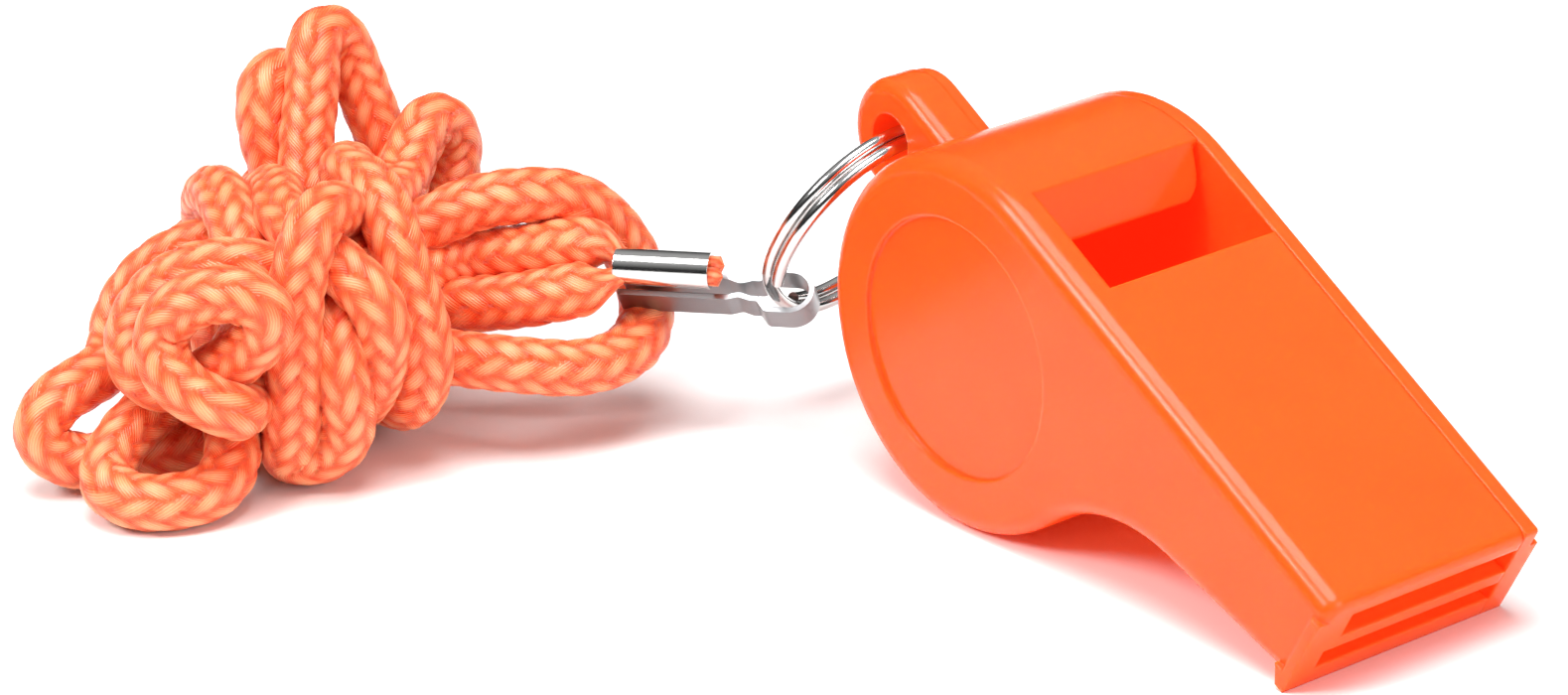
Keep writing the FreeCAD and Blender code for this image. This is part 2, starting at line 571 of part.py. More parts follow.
def turned_placement(centre, x_axis, y_axis):
    """Placement whose local x and y axes point along two square unit vectors."""
    z_axis = x_axis.cross(y_axis)
    matrix = Matrix(x_axis.x, y_axis.x, z_axis.x, centre.x,
                    x_axis.y, y_axis.y, z_axis.y, centre.y,
                    x_axis.z, y_axis.z, z_axis.z, centre.z,
                    0, 0, 0, 1)
    return Placement(matrix)


def rounded_path(points, radii):
    """Straight runs joined by tangent arcs, one radius for each inner point."""
    edges = []
    last = points[0]
    for index in range(1, len(points) - 1):
        before = (points[index - 1] - points[index]).normalize()
        after = (points[index + 1] - points[index]).normalize()
        half = math.acos(max(-1, min(1, before.dot(after)))) / 2
        step = radii[index - 1] / math.tan(half)
        start = points[index] + before * step
        finish = points[index] + after * step
        inward = (before + after).normalize()
        centre = points[index] + inward * (radii[index - 1] / math.sin(half))
        middle = centre - inward * radii[index - 1]
        if (start - last).Length > 1e-6:
            edges.append(Part.LineSegment(last, start).toShape())
        edges.append(Part.Arc(start, middle, finish).toShape())
        last = finish
    if (points[-1] - last).Length > 1e-6:
        edges.append(Part.LineSegment(last, points[-1]).toShape())
    return Part.Wire(edges)


def cord_radii(points):
    """Arc radii of a cord's route: 0.45 of the shorter run over the tangent of half the turn."""
    radii = []
    for index in range(1, len(points) - 1):
        before = points[index] - points[index - 1]
        after = points[index + 1] - points[index]
        turn = before.getAngle(after)
        radii.append(0.45 * min(before.Length, after.Length) / math.tan(turn / 2))
    return radii


def tube(path, radius):
    """Round solid along a path, its volume compared with its section times its length."""
    start = path.Edges[0]
    direction = start.tangentAt(start.FirstParameter)
    place = start.valueAt(start.FirstParameter)
    section = Part.Wire(Part.makeCircle(radius, place, direction))
    solid = path.makePipeShell([section], True, False)
    expected = math.pi * radius ** 2 * path.Length
    if abs(solid.Volume - expected) > 0.03 * expected:
        raise ValueError(f"tube volume {solid.Volume:.2f}, expected {expected:.2f}")
    return solid


def add_piece(label, shape, placement=Placement()):
    """Document object for a shape made with Part's own functions."""
    piece = doc.addObject("Part::Feature", label)
    piece.Label = label
    piece.Shape = shape
    piece.Placement = placement
    return piece


PITCH = rest_pitch()


def whistle_point(x, y, z):
    """Where a point in the whistle's own axes lies when the whistle is at rest."""
    turned = Rotation(Vector(0, 1, 0), PITCH).multVec(Vector(x, y, z))
    return turned + Vector(0, 0, size("barrel_radius"))


def ring_axes():
    """Centre of the split ring, and its directions to its lowest point and along the lug hole."""
    lean = math.radians(size("ring_lean"))
    yaw = math.radians(size("ring_yaw"))
    turn = math.radians(size("ring_turn"))
    down = Vector(-math.sin(lean), 0, -math.cos(lean))
    along = Vector(0, 1, 0)
    across = down.cross(along)
    along = along * math.cos(yaw) - across * math.sin(yaw)
    low = down * math.cos(turn) - along * math.sin(turn)
    along = along * math.cos(turn) + down * math.sin(turn)
    hole = whistle_point(-size("lug_reach"), 0, 0)
    return hole + low * size("ring_radius"), low, along


def make_pea():
    """Ball that tumbles in the chamber, lying at its lowest point."""
    pea = doc.addObject("Part::Sphere", "pea")
    pea.Label = "pea"
    pea.setExpression("Radius", "Sizes.pea_radius * 1 mm")
    orbit = size("barrel_radius") - size("chamber_wall") - size("pea_clearance") - size("pea_radius")
    pea.Placement = Placement(Vector(0, 0, size("barrel_radius") - orbit), Rotation())
    return pea


def make_split_ring():
    """Two flat coils of round wire, joined where the wire steps across from one to the other."""
    radius = size("ring_radius")
    half_pitch = size("ring_pitch") / 2
    half_step = math.radians(size("ring_crossover")) / 2
    middle = math.pi - math.radians(size("clip_place"))

    def at(angle, height):
        return Vector(radius * math.cos(angle), radius * math.sin(angle), height)

    def coil(first, last, height):
        return Part.Arc(at(first, height), at((first + last) / 2, height), at(last, height)).toShape()

    steps = 12
    across = []
    for index in range(steps + 1):
        share = index / steps
        angle = middle - half_step + 2 * half_step * share
        rise = share * share * (3 - 2 * share)
        across.append(at(angle, half_pitch * (2 * rise - 1)))
    crossing = Part.BSplineCurve()
    first, last = middle - half_step, middle + half_step
    crossing.interpolate(across, InitialTangent=Vector(-math.sin(first), math.cos(first), 0),
                         FinalTangent=Vector(-math.sin(last), math.cos(last), 0))
    path = Part.Wire([
        coil(last - 2 * math.pi, first, -half_pitch),
        crossing.toShape(),
        coil(last, first + 2 * math.pi, half_pitch),
    ])
    ring = tube(path, size("ring_wire") / 2)
    centre, low, along = ring_axes()
    return add_piece("split_ring", ring, turned_placement(centre, low * -1, along * -1))


def clip_placement():
    """Clip's own axes: x from the eye to the crimped barrel, y to the near leg, z along the wire."""
    centre, low, along = ring_axes()
    place = math.radians(size("clip_place"))
    eye = centre + (low * math.cos(place) - along * math.sin(place)) * size("ring_radius")
    heading = math.radians(size("clip_heading"))
    roll = math.radians(size("clip_roll"))
    out = Vector(math.cos(heading), math.sin(heading), 0)
    level = Vector(0, 0, 1).cross(out)
    near = level * math.cos(roll) - Vector(0, 0, 1) * math.sin(roll)
    return turned_placement(eye, out, near)


def make_cord_clip():
    """Steel strip folded round the ring, pinched at a waist, its end rolled round the cord."""
    sheet_thickness = size("clip_sheet")
    strip = size("clip_strip")
    eye = size("clip_eye_radius") + sheet_thickness / 2
    leg = (size("clip_leg_gap") + sheet_thickness) / 2
    waist = (size("clip_waist_gap") + sheet_thickness) / 2
    pinch = size("clip_waist_place")
    slack = size("clip_eye_slack")
    length = size("clip_length")
    lean = size("clip_waist_run")
    throat = size("clip_throat_place")
    near_side = [
        Vector(length, leg, 0), Vector(pinch + lean, leg, 0), Vector(pinch, waist, 0),
        Vector(pinch - lean, leg, 0), Vector(throat, leg, 0),
        Vector(throat - size("clip_throat_run"), eye, 0), Vector(-slack - eye, eye, 0)]
    far_side = [Vector(point.x, -point.y, 0) for point in reversed(near_side)]
    bend = size("clip_bend")
    throat_bend = size("clip_throat_bend")
    bends = [bend, bend, bend, throat_bend, throat_bend, eye * 0.999]
    path = rounded_path(near_side + far_side, bends + bends[::-1])
    inner = leg - sheet_thickness / 2
    outer = leg + sheet_thickness / 2
    section = Part.makePolygon([
        Vector(length, inner, -strip / 2), Vector(length, outer, -strip / 2),
        Vector(length, outer, strip / 2), Vector(length, inner, strip / 2),
        Vector(length, inner, -strip / 2)])
    folded = path.makePipeShell([section], True, False)

    start = size("crimp_start")
    barrel_axis = Vector(start, -size("crimp_shift"), size("crimp_lift"))
    barrel = Part.makeCylinder(size("crimp_radius"), length - start, barrel_axis, Vector(1, 0, 0))
    web_low = strip / 4
    web_top = size("crimp_lift") - size("crimp_radius") + size("crimp_web_overlap")
    web = Part.makeBox(length - start, sheet_thickness, web_top - web_low, Vector(start, -outer, web_low))
    bore_radius = size("crimp_radius") - sheet_thickness
    bore = Part.makeCylinder(bore_radius, length - start, barrel_axis, Vector(1, 0, 0))
    clip = folded.fuse(barrel).fuse(web).cut(bore).removeSplitter()
    return add_piece("cord_clip", clip, clip_placement())


def make_cord_ends():
    """Both ends of the cord where the crimp squeezes them, with the cut ends standing out."""
    start = size("crimp_start")
    length = size("clip_length")
    squeezed = size("crimp_radius") - size("clip_sheet")
    radius = size("cord_diameter") / 2
    y, z = -size("crimp_shift"), size("crimp_lift")
    core = Part.makeCylinder(squeezed, length - start, Vector(start, y, z), Vector(1, 0, 0))
    stub = Part.makeCylinder(squeezed + size("cord_stub_swell"), size("cord_stub"),
                             Vector(start - size("cord_stub"), y, z), Vector(1, 0, 0))
    squeezed_ring = Part.Wire(Part.makeCircle(squeezed, Vector(length, y, z), Vector(1, 0, 0)))
    oval = Part.Ellipse(Vector(0, 0, 0), 2 * radius, radius).toShape()
    oval.Placement = Placement(Vector(length + size("cord_spread"), y, z), Rotation(Vector(0, 1, 0), 90)) * \
        Placement(Vector(), Rotation(Vector(0, 0, 1), 90))
    swell = Part.makeLoft([squeezed_ring, Part.Wire(oval)], True, True)
    ends = core.fuse(stub).fuse(swell)
    return add_piece("cord_ends", ends, clip_placement())


# Route of each cord tail in the clip's axes, from where the two ends have swelled to full size.
TAIL_ROUTE = [(0, 0, 0), (4.8, 0, 0), (10.6, -0.9, -1.3)]

# Outer shape of the wrapped hank: middle, heading of the long axis, half sizes along, across, up.
# The bundle, the loops by the clip, the tall loops at the back and the loops on the ground.
HANK_LOBES = [
    ((-42.5, -34.0, 9.3), 52, (13.0, 11.0, 9.6)),
    ((-38.0, -19.5, 7.3), 52, (11.0, 5.0, 5.6)),
    ((-50.0, -22.5, 17.5), 40, (8.5, 5.5, 7.5)),
    ((-41.0, -46.5, 3.6), 60, (8.5, 6.0, 3.8)),
]
# The block below the ground that trims them, wider than the hank.
GROUND_SPAN = 250


def make_cord_tail(label, side):
    """One of the two cords that run from the crimp into the hank; side is +1 or -1."""
    radius = size("cord_diameter") / 2
    offset = side * (radius + size("cord_gap") / 2)
    start = Vector(size("clip_length") + size("cord_spread"), offset - size("crimp_shift"),
                   size("crimp_lift"))
    points = [start + Vector(*step) for step in TAIL_ROUTE]
    radii = cord_radii(points)
    path = rounded_path(points, radii)
    print(label, "radii", [round(value, 1) for value in radii], "length", round(path.Length, 1))
    return add_piece(label, tube(path, radius), clip_placement())


def make_cord_hank():
    """Closed solid of the hank's outer shape, flat where it lies on the ground."""
    lobes = []
    for middle, heading, (along, across, up) in HANK_LOBES:
        ball = Part.makeSphere(1)
        stretch = Matrix()
        stretch.scale(along, across, up)
        lobe = ball.transformGeometry(stretch)
        lobe.Placement = Placement(Vector(*middle), Rotation(Vector(0, 0, 1), heading))
        lobes.append(lobe)
    hank = lobes[0]
    for lobe in lobes[1:]:
        hank = hank.fuse(lobe)
    corner = Vector(-GROUND_SPAN / 2, -GROUND_SPAN / 2, -GROUND_SPAN)
    ground = Part.makeBox(GROUND_SPAN, GROUND_SPAN, GROUND_SPAN, corner)
    return add_piece("cord_hank", hank.cut(ground))


whistle_placement = Placement(Vector(0, 0, size("barrel_radius")), Rotation(Vector(0, 1, 0), PITCH))
whistle_body.Placement = whistle_placement
side_cover.Placement = whistle_placement
pea = make_pea()
split_ring = make_split_ring()
cord_clip = make_cord_clip()
cord_ends = make_cord_ends()
tail_near = make_cord_tail("cord_tail_near", 1)
tail_far = make_cord_tail("cord_tail_far", -1)
cord_hank = make_cord_hank()
doc.recompute()

own_pieces = [whistle_body, side_cover, pea, split_ring]
pieces = own_pieces + [cord_clip, cord_ends, tail_near, tail_far, cord_hank]

# The origin lies on the ground under the middle of the whistle with its ring.
boxes = [piece.Shape.optimalBoundingBox(False) for piece in own_pieces]
middle_x = (min(box.XMin for box in boxes) + max(box.XMax for box in boxes)) / 2
middle_y = (min(box.YMin for box in boxes) + max(box.YMax for box in boxes)) / 2
to_origin = Placement(Vector(-middle_x, -middle_y, 0), Rotation())
for piece in pieces:
    piece.Placement = to_origin * piece.Placement
doc.recompute()

for item in doc.Objects:
    if any(word in item.State for word in ("Invalid", "Error")):
        raise ValueError(f"{item.Name}: {item.State}")
for piece in pieces:
    shape = piece.Shape
    if shape.isNull() or not shape.isValid() or len(shape.Solids) != 1:
        raise ValueError(f"{piece.Label} is not one valid solid")

os.makedirs("parts", exist_ok=True)
for piece in pieces:
    piece.Shape.exportStep(f"parts/{piece.Label}.step")

ring_centre, ring_low, ring_along = ring_axes()
clip_frame = clip_placement()
wire_place = math.radians(size("clip_place"))
wire_direction = ring_along * -math.cos(wire_place) - ring_low * math.sin(wire_place)
print("origin shift", -middle_x, -middle_y)
print("lug hole", to_origin.multVec(whistle_point(-size("lug_reach"), 0, 0)))
print("barrel axis", to_origin.multVec(Vector(0, 0, size("barrel_radius"))))
print("ring centre", to_origin.multVec(ring_centre))
print("clip eye", to_origin.multVec(clip_frame.Base), "wire", wire_direction)
print("crimp axis", to_origin.multVec(clip_frame.multVec(
    Vector(size("clip_length"), -size("crimp_shift"), size("crimp_lift")))))
print("cover face", to_origin.multVec(whistle_point(0, size("width") / 2, 0)), "pitch", PITCH)
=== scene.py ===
"""Looks of a training whistle with its split ring, crimped clip and wound braided cord.

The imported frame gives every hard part. This file adds the braided cord, the finishes, the stage and
the camera. Lengths in the settings are metres; the cord's route is in millimetres times MM.
"""

import bpy
import numpy as np
from bpy.props import FloatProperty, FloatVectorProperty, IntProperty, PointerProperty
from mathutils import Matrix, Vector


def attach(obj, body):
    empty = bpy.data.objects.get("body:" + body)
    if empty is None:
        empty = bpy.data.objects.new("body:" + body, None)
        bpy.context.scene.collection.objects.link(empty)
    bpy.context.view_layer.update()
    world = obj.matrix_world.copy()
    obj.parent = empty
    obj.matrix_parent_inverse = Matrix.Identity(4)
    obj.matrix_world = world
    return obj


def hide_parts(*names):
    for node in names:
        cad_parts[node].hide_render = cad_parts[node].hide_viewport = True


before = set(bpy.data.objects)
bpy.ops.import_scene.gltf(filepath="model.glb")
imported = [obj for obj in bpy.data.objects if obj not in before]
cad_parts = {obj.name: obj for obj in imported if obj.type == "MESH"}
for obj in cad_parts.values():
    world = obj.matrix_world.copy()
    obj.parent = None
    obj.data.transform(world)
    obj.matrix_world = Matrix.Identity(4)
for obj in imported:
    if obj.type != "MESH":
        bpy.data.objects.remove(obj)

bl_info = {
    "name": "Training Whistle",
    "version": (1, 0, 0),
    "blender": (4, 5, 0),
    "location": "View3D > Sidebar > Whistle",
    "description": "Finishes, braided cord and studio for a training whistle",
    "category": "Add Mesh",
}

MM = 0.001

# Clip axes in the row frame: the eye's middle, then along the clip, across the strip and off its face.
CLIP_EYE = np.array((-26.8294, -7.2668, 10.0043))
CLIP_AXES = np.array(((-0.7660, -0.6428, 0.0), (0.4851, -0.5781, -0.6561), (0.4217, -0.5026, 0.7547)))
CRIMP_START = 4.3
CRIMP_END = 10.9
CRIMP_SHIFT = -0.45
CRIMP_LIFT = 2.6

# The cord ends in the clip's millimetres: how far they stand out of the crimp, half their spacing in
# it and beyond it, their squeezed radius, and how far along the cord they begin to swell and over what.
END_STANDS_OUT = 0.9
END_SPACING = 0.42
TAIL_SPACING = 1.854
SQUEEZED_RADIUS = 0.62
SWELL_FROM = 7.2
SWELL_OVER = 3.0

# Settling the hank: strands press on each other nearer than PRESS_GAP diameters, unless they are less
# than SAME_STRETCH diameters apart along the cord. Each round moves a point by PRESS_STEP times that
# push, SMOOTHING of the way to its neighbours' middle and ROUTE_PULL of the way back to its place on
# the route, and keeps it FLOOR_CLEARANCE diameters or more above the floor.
PRESS_GAP = 0.95
SAME_STRETCH = 1.9
PRESS_STEP = 1.6
SMOOTHING = 0.015
ROUTE_PULL = 0.03
FLOOR_CLEARANCE = 0.55
SETTLING_ROUNDS = 110

# Turns round the hank's waist, and the route's points in each.
WRAPS = 3
POINTS_PER_WRAP = 13

# The plaited surface: its lowest part and its rise as shares of the radius, and its mesh.
BRAID_BASE = 0.94
BRAID_RISE = 0.16
TUBE_RINGS = 2050
TUBE_SIDES = 48

# Hank axes in the row frame: middle, along the hank, away from the front, and up.
HANK_MIDDLE = np.array((-50.0, -34.0, 0.0))
HANK_AXES = np.array(((0.619, 0.785, 0.0), (-0.785, 0.619, 0.0), (0.0, 0.0, 1.0)))

# The cord's route through the hank in millimetres, fold by fold, from the upper tail to the wraps.
LEFT_FRONT_FOLD = [
    (-43.5, -27.5, 13), (-43, -33, 15), (-42, -38.5, 16.5), (-44.5, -41.5, 17), (-48.5, -43.5, 14.5),
    (-50, -45.5, 11), (-47, -46.5, 8), (-43, -44.5, 7),
]
LEFT_KNOT = [
    (-39, -38, 11.5), (-37.5, -39, 15.5), (-39.5, -42.5, 17), (-42.5, -45.5, 16), (-44.5, -46.5, 13),
    (-42.5, -46, 10), (-38.5, -43, 10),
]
LEFT_FRONT_END = [
    (-41, -40.5, 8), (-42.5, -36, 9), (-43.5, -31, 6.5), (-43, -26.5, 6.5),
]
CLIP_LOOP = [
    (-38, -25.5, 7), (-34.5, -23, 7), (-32.5, -19.5, 6), (-32.5, -15, 6), (-35, -11.5, 7),
    (-38, -10.5, 10), (-39, -12, 13.5), (-39.5, -14.5, 16), (-41, -18, 16.5), (-43.5, -21, 15.5),
    (-45.5, -24, 14),
]
LEFT_BACK_FOLD = [
    (-48.5, -27.5, 12.5), (-52, -30, 13.5), (-53.5, -35.5, 15), (-55.5, -39.5, 13), (-56.5, -42, 9.5),
    (-53.5, -43.5, 6.5),
]
FAR_LEFT_LOOP = [
    (-52.7, -46.5, 7), (-52.5, -49.8, 6.8), (-52.5, -51.8, 4.4), (-51.5, -50.3, 2), (-49.5, -46.5, 2),
    (-47, -41.5, 3.5), (-46.5, -36.5, 3), (-46, -31, 3.5), (-47.5, -27, 4.5), (-51, -27, 5.5),
    (-52, -31, 4.5),
    (-48, -38, 4), (-48, -44, 5),
]
GROUND_LOOP = [
    (-48, -47.5, 4), (-46.5, -50.5, 2.5), (-43.5, -50, 1.8), (-41, -48, 1.8), (-40, -44, 1.8),
    (-41.5, -41, 3.5), (-43.5, -38.5, 6.5), (-43.5, -37.5, 10.5), (-43, -33, 13), (-43, -31.5, 15.5),
]
FRONT_DROP = [
    (-40.5, -36.5, 17), (-39.5, -39, 14.5), (-40.5, -39.5, 10), (-42, -39.7, 5), (-43, -38.6, 2.2),
    (-41.5, -35.5, 2), (-39.5, -34, 4.5), (-39, -35.5, 9), (-40.5, -35, 13.5), (-43.5, -30.5, 15.5),
    (-46.5, -25, 13.5),
]
RIGHT_TOP_LOOP = [
    (-48.2, -22.8, 13.5), (-50, -21.5, 17), (-51.2, -18.7, 20.2), (-51.5, -16, 18.3),
    (-51.5, -16, 15.5),
    (-51.5, -18, 12.5), (-50.5, -21.5, 11.5), (-51, -25.5, 12),
]
TALL_LOOP = [
    (-54, -26, 13.5), (-56, -25.5, 17.5), (-57, -24.5, 21.5), (-58, -24, 25.5), (-58.5, -20.5, 25),
    (-58, -20, 21.5), (-56, -20, 18), (-53.5, -19, 14.5), (-51.5, -21.5, 11.5), (-52, -25.5, 10.5),
]
LEFT_TOP_LOOP = [
    (-54.5, -28.5, 12.5), (-56.5, -28, 15.5), (-58, -27.5, 19), (-59, -27, 22.5),
    (-60, -23.5, 22.5), (-60.5, -23, 18.5), (-60.5, -23.8, 14.5), (-61.3, -26.3, 11.8), (-62.3, -29.3, 10.2),
]


# ---------------------------------------------------------------- settings


class ShellSettings(bpy.types.PropertyGroup):
    """Finish of the moulded shell and its pea."""

    colour: FloatVectorProperty(name="Plastic", description="Colour of the moulded shell",
                                subtype="COLOR", size=4, default=(0.93, 0.096, 0.010, 1.0))
    roughness: FloatProperty(name="Gloss", description="Roughness of the polished shell",
                             default=0.16, min=0.0, max=1.0)
    # Painted glow: the shell's emission colour, standing in for light that seeps through the walls into the
    # hollows.
    painted_glow: FloatVectorProperty(name="Glow", description="Light that seeps through the walls into the hollows",
                              subtype="COLOR", size=4, default=(1.0, 0.06, 0.01, 1.0))
    pea_colour: FloatVectorProperty(name="Pea", description="Colour of the pea",
                                    subtype="COLOR", size=4, default=(0.86, 0.10, 0.02, 1.0))


class SteelSettings(bpy.types.PropertyGroup):
    """Finish of the plated wire and strip."""

    colour: FloatVectorProperty(name="Plating", description="Colour of the nickel plating",
                                subtype="COLOR", size=4, default=(0.66, 0.655, 0.645, 1.0))
    roughness: FloatProperty(name="Polish", description="Roughness of the plating",
                             default=0.12, min=0.0, max=1.0)
    satin: FloatVectorProperty(name="Satin", description="Colour of the clip's flat strip",
                               subtype="COLOR", size=4, default=(0.33, 0.335, 0.345, 1.0))
    satin_roughness: FloatProperty(name="Satin finish", description="Roughness of the clip's flat strip",
                                   default=0.30, min=0.0, max=1.0)


class CordSettings(bpy.types.PropertyGroup):
    """Size and look of the braided cord."""

    diameter: FloatProperty(name="Diameter", description="Cord diameter", unit="LENGTH", default=3.6 * MM)
    strands: IntProperty(name="Strands", description="Strands that run each way round the cord",
                         default=8, min=2, max=12, step=2)
    plait_turn: FloatProperty(name="Plait turn", description="Length in which a strand goes once round",
                              unit="LENGTH", default=15 * MM)
    colour: FloatVectorProperty(name="Yarn", description="Colour of the yarn",
                                subtype="COLOR", size=4, default=(0.92, 0.135, 0.035, 1.0))
    # Painted shade: a darker colour painted into the creases between the strands.
    painted_shade: FloatVectorProperty(name="Yarn shade", description="Colour between the strands",
                               subtype="COLOR", size=4, default=(0.86, 0.070, 0.018, 1.0))
    # Painted highlight: a pale colour painted on the crown of each strand.
    painted_highlight: FloatVectorProperty(name="Yarn highlight", description="Colour on the crown of each strand",
                               subtype="COLOR", size=4, default=(1.0, 0.42, 0.20, 1.0))


class StageSettings(bpy.types.PropertyGroup):
    """Camera, floor and studio light."""

    azimuth: FloatProperty(name="Azimuth", description="Camera's turn round the whistle",
                           subtype="ANGLE", default=np.radians(52.6))
    elevation: FloatProperty(name="Elevation", description="Camera's height above the floor",
                             subtype="ANGLE", default=np.radians(22.98))
    roll: FloatProperty(name="Roll", description="Camera's roll", subtype="ANGLE", default=np.radians(1.94))
    distance: FloatProperty(name="Distance", description="Camera to its target", unit="LENGTH", default=0.4)
    lens: FloatProperty(name="Lens", description="Focal length in millimetres", default=140.3)
    target: FloatVectorProperty(name="Target", description="Point that the camera looks at",
                                subtype="XYZ", unit="LENGTH", default=(-14.33 * MM, -16.47 * MM, 12.85 * MM))
    floor_half: FloatProperty(name="Floor", description="Half the floor's width", unit="LENGTH", default=3.0)


# ---------------------------------------------------------------- meshes


def mesh_piece(name, points, faces, material, smooth=True):
    """A mesh object with its place in its mesh, from arrays of points and lists of faces."""
    mesh = bpy.data.meshes.new(name)
    mesh.from_pydata(points, [], faces)
    mesh.polygons.foreach_set("use_smooth", np.full(len(mesh.polygons), smooth))
    mesh.materials.append(material)
    mesh.update()
    piece = bpy.data.objects.new(name, mesh)
    bpy.context.scene.collection.objects.link(piece)
    return piece


def unit(vectors):
    """Each row divided by its own length."""
    return vectors / np.maximum(np.linalg.norm(vectors, axis=-1, keepdims=True), 1e-12)


def arc_length(line):
    """Distance along a polyline to each of its points."""
    return np.concatenate(([0.0], np.cumsum(np.linalg.norm(np.diff(line, axis=0), axis=1))))


def evenly_spaced(line, count):
    """The same polyline with count points the same distance apart."""
    along = arc_length(line)
    places = np.linspace(0.0, along[-1], count)
    return np.stack([np.interp(places, along, line[:, axis]) for axis in range(3)], axis=1)


def carried_frames(line):
    """Tangent and two crossed normals at each point that turn as little as possible along the line.

    Each point starts with the normal tangent x up. The angle between that normal and its neighbour's,
    once that one is swung from its own tangent to the next, is added up and turned back.
    """
    tangent = unit(np.gradient(line, axis=0))
    side = unit(np.cross(tangent, (0.0, 0.0, 1.0)) + 1e-6)
    side = unit(side - tangent * np.sum(side * tangent, axis=1, keepdims=True))
    hinge = np.cross(tangent[:-1], tangent[1:])
    cosine = np.sum(tangent[:-1] * tangent[1:], axis=1, keepdims=True)
    swung = side[:-1] * cosine + np.cross(hinge, side[:-1])
    swung = swung + hinge * np.sum(hinge * side[:-1], axis=1, keepdims=True) / (1.0 + cosine)
    sine = np.sum(np.cross(swung, side[1:]) * tangent[1:], axis=1)
    twist = np.concatenate(([0.0], np.cumsum(np.arctan2(sine, np.sum(swung * side[1:], axis=1)))))[:, None]
    first = side * np.cos(twist) - np.cross(tangent, side) * np.sin(twist)
    return tangent, first, np.cross(tangent, first)


# ---------------------------------------------------------------- the cord's route


def clip_points(steps):
    """Points given along, across and off the clip's strip, in the row frame."""
    return CLIP_EYE + np.array(steps, float) @ CLIP_AXES


def tail_points(side):
    """One cord end, squeezed in the crimp beside the other, then its tail; side is +1 or -1."""
    near = CRIMP_SHIFT + END_SPACING * side
    wide = CRIMP_SHIFT + TAIL_SPACING * side
    return clip_points([
        (CRIMP_START - END_STANDS_OUT, near, CRIMP_LIFT),
        (7.5, near, CRIMP_LIFT),
        (CRIMP_END - 0.6, near, CRIMP_LIFT),
        (CRIMP_END + 0.9, wide - 0.3 * side, CRIMP_LIFT),
        (14.4, wide + 0.2, CRIMP_LIFT - 0.3),
        (17.3, wide + 0.7, CRIMP_LIFT - 0.9),
        (23.1, wide + 0.9, CRIMP_LIFT - 2.0),
    ])


def wraps(turns, per_turn):
    """Turns of cord round the hank's waist, leaning over its left half and closing up to the right.

    At angle a, in turns n left to go: along = 8 - 3.4 n - (3.4 + 0.8 n) cos(a - 20 deg),
    away = 0.5 + 9.3 cos a, up = 10 + 7.6 sin a, in millimetres in the hank's axes.
    """
    left = np.linspace(turns, 0.0, int(turns * per_turn) + 1)
    angle = 2.0 * np.pi * left
    along = 8.0 - 3.4 * left - (3.4 + 0.8 * left) * np.cos(angle - np.radians(20.0))
    away = 0.5 + 9.3 * np.cos(angle)
    up = 10.0 + 7.6 * np.sin(angle)
    return HANK_MIDDLE + np.stack((along, away, up), axis=1) @ HANK_AXES


def spline_weights(controls, places):
    """Share that each control point has in the quadratic spline at each place, ends pinned.

    Inside, the shares over three neighbours are (1-f)^2/2, 1/2 + f - f^2 and f^2/2, with f the part of
    the span passed. In the first and last spans the outer control takes all at the end.
    """
    span = np.minimum(places.astype(int), controls - 3)
    part = places - span
    shares = np.stack(((1 - part) ** 2 / 2, 0.5 + part - part ** 2, part ** 2 / 2), axis=1)
    first = span == 0
    last = span == controls - 3
    shares[first] = np.stack(((1 - part) ** 2, part * (2 - 1.5 * part), part ** 2 / 2), axis=1)[first]
    rest = 1 - part
    shares[last] = np.stack((rest ** 2 / 2, rest * (2 - 1.5 * rest), part ** 2), axis=1)[last]
    weights = np.zeros((len(places), controls))
    rows = np.arange(len(places))
    for step in range(3):
        weights[rows, span + step] = shares[:, step]
    return weights


def settled(route, diameter, rounds):
    """The route's control points once the strands have pushed each other apart and come to rest.

    In each round, any two places of the line nearer than the gap move half the difference apart, the
    line's neighbours smooth out a little, and nothing goes under the floor. The crimped tails stay.
    """
    count = len(route)
    places = np.linspace(0.0, count - 2, 5 * count)
    weights = spline_weights(count, places)
    back = weights.T / np.maximum(weights.sum(axis=0)[:, None], 1e-9)
    crimped = len(tail_points(1))
    held = np.ones((count, 1))
    held[:crimped] = 0.0
    held[-crimped:] = 0.0
    gap = PRESS_GAP * diameter
    points = route.copy()
    for _ in range(rounds):
        line = weights @ points
        along = arc_length(line)
        apart = line[:, None] - line[None]
        distance = np.linalg.norm(apart, axis=2) + 1e-9
        other = np.abs(along[:, None] - along[None]) > SAME_STRETCH * diameter
        press = np.where(other, np.maximum(gap - distance, 0.0) / distance, 0.0)[..., None]
        push = (apart * press).sum(axis=1) / (1.0 + 0.5 * (press[..., 0] > 0).sum(axis=1))[:, None]
        move = back @ (0.5 * push)
        middle = np.zeros_like(points)
        middle[1:-1] = 0.5 * (points[:-2] + points[2:]) - points[1:-1]
        points = points + held * (PRESS_STEP * move + SMOOTHING * middle + ROUTE_PULL * (route - points))
        points[:, 2] = np.maximum(points[:, 2], FLOOR_CLEARANCE * diameter)
    return points


def cord_route(diameter):
    """Control points of the whole cord in millimetres, from one crimped end to the other."""
    folds = (LEFT_FRONT_FOLD + LEFT_KNOT + LEFT_FRONT_END + CLIP_LOOP + LEFT_BACK_FOLD + FAR_LEFT_LOOP
             + GROUND_LOOP + FRONT_DROP + RIGHT_TOP_LOOP + TALL_LOOP + LEFT_TOP_LOOP)
    route = np.vstack((tail_points(-1), np.array(folds, float), wraps(WRAPS, POINTS_PER_WRAP),
                       tail_points(1)[::-1]))
    return settled(route, diameter / MM, SETTLING_ROUNDS)


